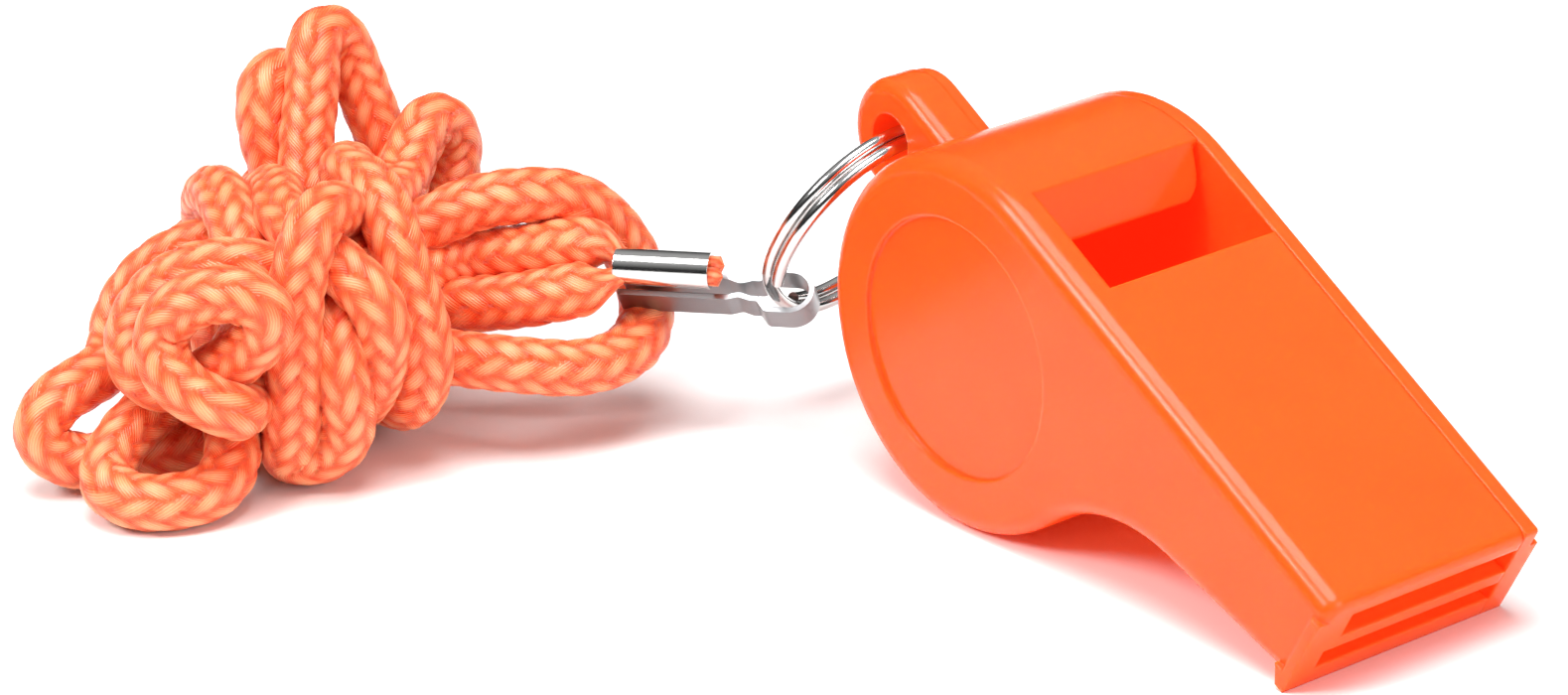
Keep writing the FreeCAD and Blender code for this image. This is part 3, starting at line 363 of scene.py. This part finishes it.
def spline_line(name, controls):
    """Points along a NURBS spline with these control points, as Blender draws it."""
    curve = bpy.data.curves.new(name, "CURVE")
    curve.dimensions = "3D"
    curve.resolution_u = 10
    spline = curve.splines.new("NURBS")
    spline.points.add(len(controls) - 1)
    spline.points.foreach_set("co", np.column_stack((controls, np.ones(len(controls)))).ravel())
    spline.order_u = 3
    spline.use_endpoint_u = True
    holder = bpy.data.objects.new(name, curve)
    bpy.context.scene.collection.objects.link(holder)
    bpy.context.view_layer.update()
    mesh = bpy.data.meshes.new_from_object(holder)
    line = np.zeros(len(mesh.vertices) * 3)
    mesh.vertices.foreach_get("co", line)
    bpy.data.objects.remove(holder)
    return line.reshape(-1, 3)


def plait(around, along, strands):
    """Height and owner of a plaited surface; around and along are in turns of the cord.

    The two sets of strands lie at u = strands*(around + along) and v = strands*(around - along), so
    strand i of the first set has i = floor(u) and strand j of the second has j = floor(v). Each is half
    a circle across. The first rises by cos(pi/2 (v + i - 1)) and the second by cos(pi/2 (u + j - 3)),
    which takes each strand over two of the others and under two.
    """
    first = strands * (around + along)
    second = strands * (around - along)
    one, two = np.floor(first), np.floor(second)
    across, down = first - one - 0.5, second - two - 0.5
    upper = np.sqrt(np.maximum(1 - (1.9 * across) ** 2, 0)) + 0.6 * np.cos(0.5 * np.pi * (second + one - 1))
    lower = np.sqrt(np.maximum(1 - (1.9 * down) ** 2, 0)) + 0.6 * np.cos(0.5 * np.pi * (first + two - 3))
    return np.maximum(upper, lower) / 1.6, (upper > lower).astype(float)


def crimped_radius(along, total, radius):
    """Cord radius along its length: squeezed inside the crimp at both ends, full elsewhere."""
    inward = np.minimum(along, total - along)
    share = np.clip((inward - SWELL_FROM * MM) / (SWELL_OVER * MM), 0.0, 1.0)
    tip = np.clip(inward / (0.35 * MM), 0.0, 1.0)
    squeezed = SQUEEZED_RADIUS * MM * np.sqrt(np.maximum(1 - (1 - tip) ** 2, 0.0))
    return squeezed + (radius - squeezed) * share ** 2 * (3 - 2 * share)


def braided_tube(name, line, settings, material, rings, sides):
    """A closed tube along the line whose surface stands at radius * (base + rise * plait height).

    A ring of sides points stands at each of rings places, with one more point at each end.
    """
    line = evenly_spaced(line, rings)
    tangent, first, second = carried_frames(line)
    along = arc_length(line)
    radius = crimped_radius(along, along[-1], 0.5 * settings.diameter)
    turn = np.arange(sides) / sides
    height, owner = plait(turn[None], along[:, None] / settings.plait_turn, settings.strands)
    reach = radius[:, None] * (BRAID_BASE + BRAID_RISE * height)
    angle = 2.0 * np.pi * turn[None, :, None]
    points = line[:, None] + reach[..., None] * (first[:, None] * np.cos(angle)
                                                 + second[:, None] * np.sin(angle))
    points = np.vstack((points.reshape(-1, 3), line[0] - 0.1 * MM * tangent[0],
                        line[-1] + 0.1 * MM * tangent[-1]))
    ring, side = np.meshgrid(np.arange(rings - 1), np.arange(sides), indexing="ij")
    after = (side + 1) % sides
    quads = np.stack((ring * sides + side, ring * sides + after,
                      (ring + 1) * sides + after, (ring + 1) * sides + side), axis=-1).reshape(-1, 4)
    edge = np.arange(sides)
    start = np.stack((np.full(sides, rings * sides), (edge + 1) % sides, edge), axis=1)
    end = np.stack((np.full(sides, rings * sides + 1), (rings - 1) * sides + edge,
                    (rings - 1) * sides + (edge + 1) % sides), axis=1)
    piece = mesh_piece(name, points, quads.tolist() + start.tolist() + end.tolist(), material)
    mesh = piece.data
    places = np.stack((ring, ring, ring + 1, ring + 1), axis=-1).reshape(-1)
    columns = np.stack((side, side + 1, side + 1, side), axis=-1).reshape(-1)
    flat = np.stack((columns / sides, along[places] / settings.plait_turn), axis=1)
    uv = np.zeros((len(mesh.loops), 2))
    uv[:len(flat)] = flat
    mesh.uv_layers.new(name="plait").data.foreach_set("uv", uv.ravel())
    ends = np.zeros(2)
    for label, values in (("crown", height), ("owner", owner)):
        layer = mesh.attributes.new(label, "FLOAT", "POINT")
        layer.data.foreach_set("value", np.concatenate((values.ravel(), ends)))
    return piece, line


# ---------------------------------------------------------------- finishes


def node(tree, kind, at=(0, 0), **values):
    """A new node with its settings; names of inputs set their default values."""
    made = tree.nodes.new(kind)
    made.location = at
    for name, value in values.items():
        if name in made.inputs:
            made.inputs[name].default_value = value
        else:
            setattr(made, name, value)
    return made


def group(name, inputs, outputs):
    """An empty shader node group with these sockets; returns the tree, its input and output nodes."""
    tree = bpy.data.node_groups.new(name, "ShaderNodeTree")
    for label, kind, default in inputs:
        socket = tree.interface.new_socket(label, in_out="INPUT", socket_type=kind)
        if default is not None:
            socket.default_value = default
    for label, kind in outputs:
        tree.interface.new_socket(label, in_out="OUTPUT", socket_type=kind)
    return tree, node(tree, "NodeGroupInput", (-900, 0)), node(tree, "NodeGroupOutput", (700, 0))


def fine_wear_group():
    """Faint scuffs and dust: a noise in Object coordinates, as a height, a mask and a roughness."""
    tree, given, put = group(
        "fine_wear",
        [("Scale", "NodeSocketFloat", 900.0), ("Roughness", "NodeSocketFloat", 0.2),
         ("Spread", "NodeSocketFloat", 0.08)],
        [("Height", "NodeSocketFloat"), ("Mask", "NodeSocketFloat"), ("Roughness", "NodeSocketFloat")])
    place = node(tree, "ShaderNodeTexCoord", (-900, -250))
    grain = node(tree, "ShaderNodeTexNoise", (-600, 100), Detail=6.0, Roughness=0.55)
    cloud = node(tree, "ShaderNodeTexNoise", (-600, -200), Scale=140.0, Detail=4.0)
    tree.links.new(place.outputs["Object"], grain.inputs["Vector"])
    tree.links.new(place.outputs["Object"], cloud.inputs["Vector"])
    tree.links.new(given.outputs["Scale"], grain.inputs["Scale"])
    mask = node(tree, "ShaderNodeMapRange", (-300, -200))
    for label, value in (("From Min", 0.42), ("From Max", 0.72)):
        mask.inputs[label].default_value = value
    tree.links.new(cloud.outputs["Fac"], mask.inputs["Value"])
    share = node(tree, "ShaderNodeMath", (-50, -300), operation="MULTIPLY_ADD")
    tree.links.new(mask.outputs["Result"], share.inputs[0])
    tree.links.new(given.outputs["Spread"], share.inputs[1])
    tree.links.new(given.outputs["Roughness"], share.inputs[2])
    tree.links.new(grain.outputs["Fac"], put.inputs["Height"])
    tree.links.new(mask.outputs["Result"], put.inputs["Mask"])
    tree.links.new(share.outputs["Value"], put.inputs["Roughness"])
    return tree


def blank_material(name):
    """A material with only its shader and output nodes."""
    material = bpy.data.materials.new(name)
    material.use_nodes = True
    tree = material.node_tree
    tree.nodes.clear()
    shader = node(tree, "ShaderNodeBsdfPrincipled", (500, 0))
    out = node(tree, "ShaderNodeOutputMaterial", (800, 0))
    tree.links.new(shader.outputs["BSDF"], out.inputs["Surface"])
    return material, tree, shader


def shaded(material, tree, shader, wear, colour, scale, roughness, spread, bump, strength, edge=0.0):
    """Colour, roughness and bump from the fine_wear group; edge is how far its corners look rounded."""
    effect = node(tree, "ShaderNodeGroup", (-300, 0))
    effect.node_tree = wear
    effect.inputs["Scale"].default_value = scale
    effect.inputs["Roughness"].default_value = roughness
    effect.inputs["Spread"].default_value = spread
    tint = node(tree, "ShaderNodeMix", (100, 200), data_type="RGBA")
    tint.inputs["A"].default_value = colour
    tint.inputs["B"].default_value = tuple(0.93 * part for part in colour[:3]) + (1.0,)
    tree.links.new(effect.outputs["Mask"], tint.inputs["Factor"])
    tree.links.new(tint.outputs["Result"], shader.inputs["Base Color"])
    tree.links.new(effect.outputs["Roughness"], shader.inputs["Roughness"])
    relief = node(tree, "ShaderNodeBump", (200, -300), Strength=strength, Distance=bump)
    if edge:
        soft = node(tree, "ShaderNodeBevel", (0, -450), Radius=edge, samples=6)
        tree.links.new(soft.outputs["Normal"], relief.inputs["Normal"])
    tree.links.new(effect.outputs["Height"], relief.inputs["Height"])
    tree.links.new(relief.outputs["Normal"], shader.inputs["Normal"])
    return material


def shell_material(wear, settings):
    """Glossy moulded plastic, a little see-through at thin edges, with faint flow marks and a faint painted
    glow over the whole shell.
    """
    material, tree, shader = blank_material("orange_moulding")
    shader.inputs["IOR"].default_value = 1.49
    shader.inputs["Specular IOR Level"].default_value = 0.26
    shader.inputs["Subsurface Weight"].default_value = 0.7
    shader.inputs["Subsurface Radius"].default_value = (1.0, 0.14, 0.03)
    shader.inputs["Subsurface Scale"].default_value = 4.5 * MM
    # Painted glow: a faint emission over the whole shell lightens its hollows.
    shader.inputs["Emission Color"].default_value = tuple(settings.painted_glow)
    shader.inputs["Emission Strength"].default_value = 0.2
    return shaded(material, tree, shader, wear, tuple(settings.colour), 700.0, settings.roughness,
                  0.05, 0.02 * MM, 0.10, edge=0.35 * MM)


def pea_material(wear, settings):
    """Matt ball, a little pitted."""
    material, tree, shader = blank_material("pea_skin")
    return shaded(material, tree, shader, wear, tuple(settings.pea_colour), 1400.0, 0.5, 0.1, 0.08 * MM, 0.5)


def wire_material(wear, settings):
    """Nickel-plated wire with fine drawing marks."""
    material, tree, shader = blank_material("plated_wire")
    shader.inputs["Metallic"].default_value = 1.0
    return shaded(material, tree, shader, wear, tuple(settings.colour), 1500.0, settings.roughness,
                  0.06, 0.01 * MM, 0.15)


def strip_material(wear, settings):
    """Stamped strip: satin legs and eye, and a polished barrel above the strip's upper edge."""
    material, tree, shader = blank_material("plated_strip")
    shader.inputs["Metallic"].default_value = 1.0
    shaded(material, tree, shader, wear, tuple(settings.satin), 2500.0, settings.satin_roughness,
           0.08, 0.01 * MM, 0.3, edge=0.08 * MM)
    place = node(tree, "ShaderNodeTexCoord", (-900, 600))
    height = node(tree, "ShaderNodeVectorMath", (-700, 600), operation="DOT_PRODUCT")
    height.inputs[1].default_value = CLIP_AXES[2]
    tree.links.new(place.outputs["Object"], height.inputs[0])
    edge = float(CLIP_EYE @ CLIP_AXES[2]) * MM
    polish = node(tree, "ShaderNodeMapRange", (-500, 600))
    polish.inputs["From Min"].default_value = edge + 1.15 * MM
    polish.inputs["From Max"].default_value = edge + 1.45 * MM
    tree.links.new(height.outputs["Value"], polish.inputs["Value"])
    for label, kind, polished in (("Base Color", "RGBA", tuple(settings.colour)),
                                  ("Roughness", "FLOAT", settings.roughness)):
        satin = shader.inputs[label].links[0].from_socket
        blend = node(tree, "ShaderNodeMix", (300, 500), data_type=kind)
        tree.links.new(polish.outputs["Result"], blend.inputs["Factor"])
        tree.links.new(satin, blend.inputs["A"])
        blend.inputs["B"].default_value = polished
        tree.links.new(blend.outputs["Result"], shader.inputs[label])
    return material


def attribute(tree, name, at):
    """The value that a mesh attribute has at the surface."""
    return node(tree, "ShaderNodeAttribute", at, attribute_name=name).outputs["Fac"]


def math(tree, operation, first, second, at=(0, 0)):
    """One math node; each input is a socket or a number."""
    made = node(tree, "ShaderNodeMath", at, operation=operation)
    for slot, value in enumerate((first, second)):
        if isinstance(value, bpy.types.NodeSocket):
            tree.links.new(value, made.inputs[slot])
        elif value is not None:
            made.inputs[slot].default_value = value
    return made.outputs["Value"]


def cord_material(settings):
    """Silky filament yarn: colour rises from a painted shade between strands to a pale painted highlight on
    each crown.

    Filaments are fine waves across each strand: sin of the strand's own coordinate, from the plait map.
    """
    material, tree, shader = blank_material("braided_yarn")
    place = node(tree, "ShaderNodeUVMap", (-1500, 0), uv_map="plait")
    parts = node(tree, "ShaderNodeSeparateXYZ", (-1300, 0))
    tree.links.new(place.outputs["UV"], parts.inputs["Vector"])
    around, along = parts.outputs["X"], parts.outputs["Y"]
    one = math(tree, "ADD", around, along, (-1100, 100))
    other = math(tree, "SUBTRACT", around, along, (-1100, -100))
    owner = attribute(tree, "owner", (-1100, -300))
    crown = attribute(tree, "crown", (-1100, -500))
    own = node(tree, "ShaderNodeMix", (-900, 0), data_type="FLOAT")
    tree.links.new(owner, own.inputs["Factor"])
    tree.links.new(other, own.inputs["A"])
    tree.links.new(one, own.inputs["B"])
    where = node(tree, "ShaderNodeTexCoord", (-1500, -700))
    cloud = node(tree, "ShaderNodeTexNoise", (-1100, -700), Scale=420.0, Detail=3.0)
    tree.links.new(where.outputs["Object"], cloud.inputs["Vector"])
    waver = math(tree, "MULTIPLY", cloud.outputs["Fac"], 5.0, (-900, -500))
    wave = math(tree, "MULTIPLY", own.outputs["Result"], 2.0 * np.pi * settings.strands * 7, (-700, 0))
    wave = math(tree, "SINE", math(tree, "ADD", wave, waver, (-500, 0)), None, (-300, 0))
    filament = math(tree, "MULTIPLY_ADD", wave, 0.5, (-100, 0))
    filament.node.inputs[2].default_value = 0.5
    # Painted shade and highlight: the crown height, its filament waves and a noise pick the colour, from
    # painted shade between strands to a painted highlight on each crown; the noise gives some crowns more
    # painted highlight than others.
    shade_to_highlight = math(tree, "MULTIPLY_ADD", filament, 0.16, (100, -200))
    tree.links.new(crown, shade_to_highlight.node.inputs[2])
    shade_to_highlight = math(tree, "ADD", shade_to_highlight,
                math(tree, "MULTIPLY", cloud.outputs["Fac"], 0.42, (-100, -500)), (250, -200))
    shade_to_highlight = math(tree, "SUBTRACT", shade_to_highlight, 0.38, (320, -200))
    # Colour ramp: painted shade between strands, then the yarn's own colour, then a painted highlight on the
    # crowns.
    ramp = node(tree, "ShaderNodeValToRGB", (400, 200))
    ramp.color_ramp.elements[0].position = 0.30
    ramp.color_ramp.elements[0].color = tuple(settings.painted_shade)
    ramp.color_ramp.elements[1].position = 1.0
    ramp.color_ramp.elements[1].color = tuple(settings.painted_highlight)
    middle = ramp.color_ramp.elements.new(0.62)
    middle.color = tuple(settings.colour)
    tree.links.new(shade_to_highlight, ramp.inputs["Fac"])
    tree.links.new(ramp.outputs["Color"], shader.inputs["Base Color"])
    relief = node(tree, "ShaderNodeBump", (300, -500), Strength=0.5, Distance=0.06 * MM)
    tree.links.new(filament, relief.inputs["Height"])
    tree.links.new(relief.outputs["Normal"], shader.inputs["Normal"])
    shader.inputs["Roughness"].default_value = 0.34
    shader.inputs["Sheen Weight"].default_value = 0.25
    shader.inputs["Sheen Roughness"].default_value = 0.4
    shader.inputs["Sheen Tint"].default_value = (1.0, 0.62, 0.42, 1.0)
    shader.inputs["Subsurface Weight"].default_value = 0.15
    shader.inputs["Subsurface Radius"].default_value = (1.0, 0.3, 0.1)
    shader.inputs["Subsurface Scale"].default_value = 0.6 * MM
    return material


def wear_group():
    """The shared fine_wear group, made once."""
    return bpy.data.node_groups.get("fine_wear") or fine_wear_group()


def paint(name, material):
    """Gives a CAD node this material in place of its own."""
    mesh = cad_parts[name].data
    mesh.materials.clear()
    mesh.materials.append(material)


# ---------------------------------------------------------------- operators


class WHISTLE_OT_shell(bpy.types.Operator):
    """Finish the moulded shell, its side cover and the pea"""

    bl_idname = "whistle.shell"
    bl_label = "Finish the shell"

    def execute(self, context):
        settings = context.scene.whistle_shell
        shell = shell_material(wear_group(), settings)
        paint("whistle_body", shell)
        paint("side_cover", shell)
        paint("pea", pea_material(wear_group(), settings))
        return {"FINISHED"}


class WHISTLE_OT_steel(bpy.types.Operator):
    """Finish the split ring and the clip in nickel plate"""

    bl_idname = "whistle.steel"
    bl_label = "Finish the ring and clip"

    def execute(self, context):
        settings = context.scene.whistle_steel
        paint("split_ring", wire_material(wear_group(), settings))
        paint("cord_clip", strip_material(wear_group(), settings))
        return {"FINISHED"}


class WHISTLE_OT_cord(bpy.types.Operator):
    bl_idname = "whistle.cord"
    bl_label = "Plait the cord"

    def execute(self, context):
        settings = context.scene.whistle_cord
        controls = cord_route(settings.diameter) * MM
        line = spline_line("cord_route", controls)
        cord, line = braided_tube("braided_cord", line, settings, cord_material(settings),
                                  TUBE_RINGS, TUBE_SIDES)
        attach(cord, "clip")
        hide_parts("cord_ends", "cord_tail_near", "cord_tail_far", "cord_hank")
        print("cord length", round(float(arc_length(line)[-1]), 4))
        return {"FINISHED"}


class WHISTLE_OT_stage(bpy.types.Operator):
    """Set the floor, the studio light and the camera"""

    bl_idname = "whistle.stage"
    bl_label = "Set the stage"

    def execute(self, context):
        settings = context.scene.whistle_stage
        make_floor(settings.floor_half)
        make_world()
        make_lights()
        make_camera(settings)
        return {"FINISHED"}


# ---------------------------------------------------------------- stage


def make_floor(half):
    """Plain pale floor."""
    material, _, shader = blank_material("pale_floor")
    shader.inputs["Base Color"].default_value = (0.96, 0.96, 0.96, 1.0)
    shader.inputs["Roughness"].default_value = 0.9
    shader.inputs["Specular IOR Level"].default_value = 0.1
    corners = np.array(((-half, -half, 0.0), (half, -half, 0.0), (half, half, 0.0), (-half, half, 0.0)))
    floor = mesh_piece("floor", corners, [(0, 1, 2, 3)], material, smooth=False)


def make_world():
    """Room light: pale above, dark near the horizon for the metal to reflect."""
    world = bpy.data.worlds.new("studio")
    bpy.context.scene.world = world
    world.use_nodes = True
    tree = world.node_tree
    tree.nodes.clear()
    place = node(tree, "ShaderNodeTexCoord", (-900, 0))
    parts = node(tree, "ShaderNodeSeparateXYZ", (-700, 0))
    ramp = node(tree, "ShaderNodeValToRGB", (-500, 0))
    ramp.color_ramp.elements[0].position = 0.30
    ramp.color_ramp.elements[0].color = (0.04, 0.04, 0.04, 1.0)
    ramp.color_ramp.elements[1].position = 0.85
    ramp.color_ramp.elements[1].color = (0.55, 0.55, 0.55, 1.0)
    seen = node(tree, "ShaderNodeLightPath", (-500, 300))
    mix = node(tree, "ShaderNodeMix", (-200, 0), data_type="RGBA")
    mix.inputs["B"].default_value = (0.93, 0.93, 0.93, 1.0)
    light = node(tree, "ShaderNodeBackground", (0, 0), Strength=0.9)
    out = node(tree, "ShaderNodeOutputWorld", (200, 0))
    tree.links.new(place.outputs["Generated"], parts.inputs["Vector"])
    tree.links.new(parts.outputs["Z"], ramp.inputs["Fac"])
    tree.links.new(seen.outputs["Is Camera Ray"], mix.inputs["Factor"])
    tree.links.new(ramp.outputs["Color"], mix.inputs["A"])
    tree.links.new(mix.outputs["Result"], light.inputs["Color"])
    tree.links.new(light.outputs["Background"], out.inputs["Surface"])


def make_lights():
    """Soft boxes: one overhead, one at the front and one to the right."""
    target = Vector((-15 * MM, -15 * MM, 10 * MM))
    boxes = [
        ("overhead", (0.10, -0.12, 0.80), 0.50, 7.0),
        ("front", (-0.12, -0.62, 0.60), 0.26, 4.0),
        ("right", (0.80, 0.05, 0.30), 0.40, 2.8),
    ]
    for name, place, size, power in boxes:
        light = bpy.data.lights.new(name, "AREA")
        light.shape = "SQUARE"
        light.size = size
        light.energy = power
        holder = bpy.data.objects.new(name, light)
        holder.location = place
        holder.rotation_euler = (target - Vector(place)).to_track_quat("-Z", "Y").to_euler()
        bpy.context.scene.collection.objects.link(holder)


def make_camera(settings):
    """Long lens, from the named azimuth and elevation, rolled a little."""
    turn, rise = settings.azimuth, settings.elevation
    view = Vector((-np.sin(turn) * np.cos(rise), np.cos(turn) * np.cos(rise), -np.sin(rise)))
    camera = bpy.data.cameras.new("camera")
    camera.lens = settings.lens
    camera.sensor_width = 36.0
    camera.clip_start = 0.01
    camera.clip_end = 20.0
    holder = bpy.data.objects.new("camera", camera)
    back = view.to_track_quat("-Z", "Y").to_matrix().to_4x4() @ Matrix.Rotation(-settings.roll, 4, "Z")
    holder.matrix_world = Matrix.Translation(Vector(settings.target) - view * settings.distance) @ back
    bpy.context.scene.collection.objects.link(holder)
    bpy.context.scene.camera = holder
    bpy.context.scene.view_settings.view_transform = "Standard"


# ---------------------------------------------------------------- panel and run


class WHISTLE_PT_panel(bpy.types.Panel):
    """Steps that finish the whistle"""

    bl_label = "Training Whistle"
    bl_idname = "WHISTLE_PT_panel"
    bl_space_type = "VIEW_3D"
    bl_region_type = "UI"
    bl_category = "Whistle"

    def draw(self, context):
        for step in STEPS:
            self.layout.operator(step.bl_idname)
        for settings in SETTINGS:
            group_of = getattr(context.scene, settings)
            for name in group_of.__annotations__:
                self.layout.prop(group_of, name)


STEPS = (WHISTLE_OT_shell, WHISTLE_OT_steel, WHISTLE_OT_cord, WHISTLE_OT_stage)
SETTINGS = {
    "whistle_shell": ShellSettings,
    "whistle_steel": SteelSettings,
    "whistle_cord": CordSettings,
    "whistle_stage": StageSettings,
}


def register():
    for settings in SETTINGS.values():
        bpy.utils.register_class(settings)
    for step in STEPS:
        bpy.utils.register_class(step)
    bpy.utils.register_class(WHISTLE_PT_panel)
    for name, settings in SETTINGS.items():
        setattr(bpy.types.Scene, name, PointerProperty(type=settings))


def unregister():
    for name in SETTINGS:
        delattr(bpy.types.Scene, name)
    bpy.utils.unregister_class(WHISTLE_PT_panel)
    for step in STEPS:
        bpy.utils.unregister_class(step)
    for settings in SETTINGS.values():
        bpy.utils.unregister_class(settings)


def main():
    register()
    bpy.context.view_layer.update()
    bpy.ops.whistle.shell()
    bpy.ops.whistle.steel()
    bpy.ops.whistle.cord()
    bpy.ops.whistle.stage()


if __name__ == "__main__":
    main()
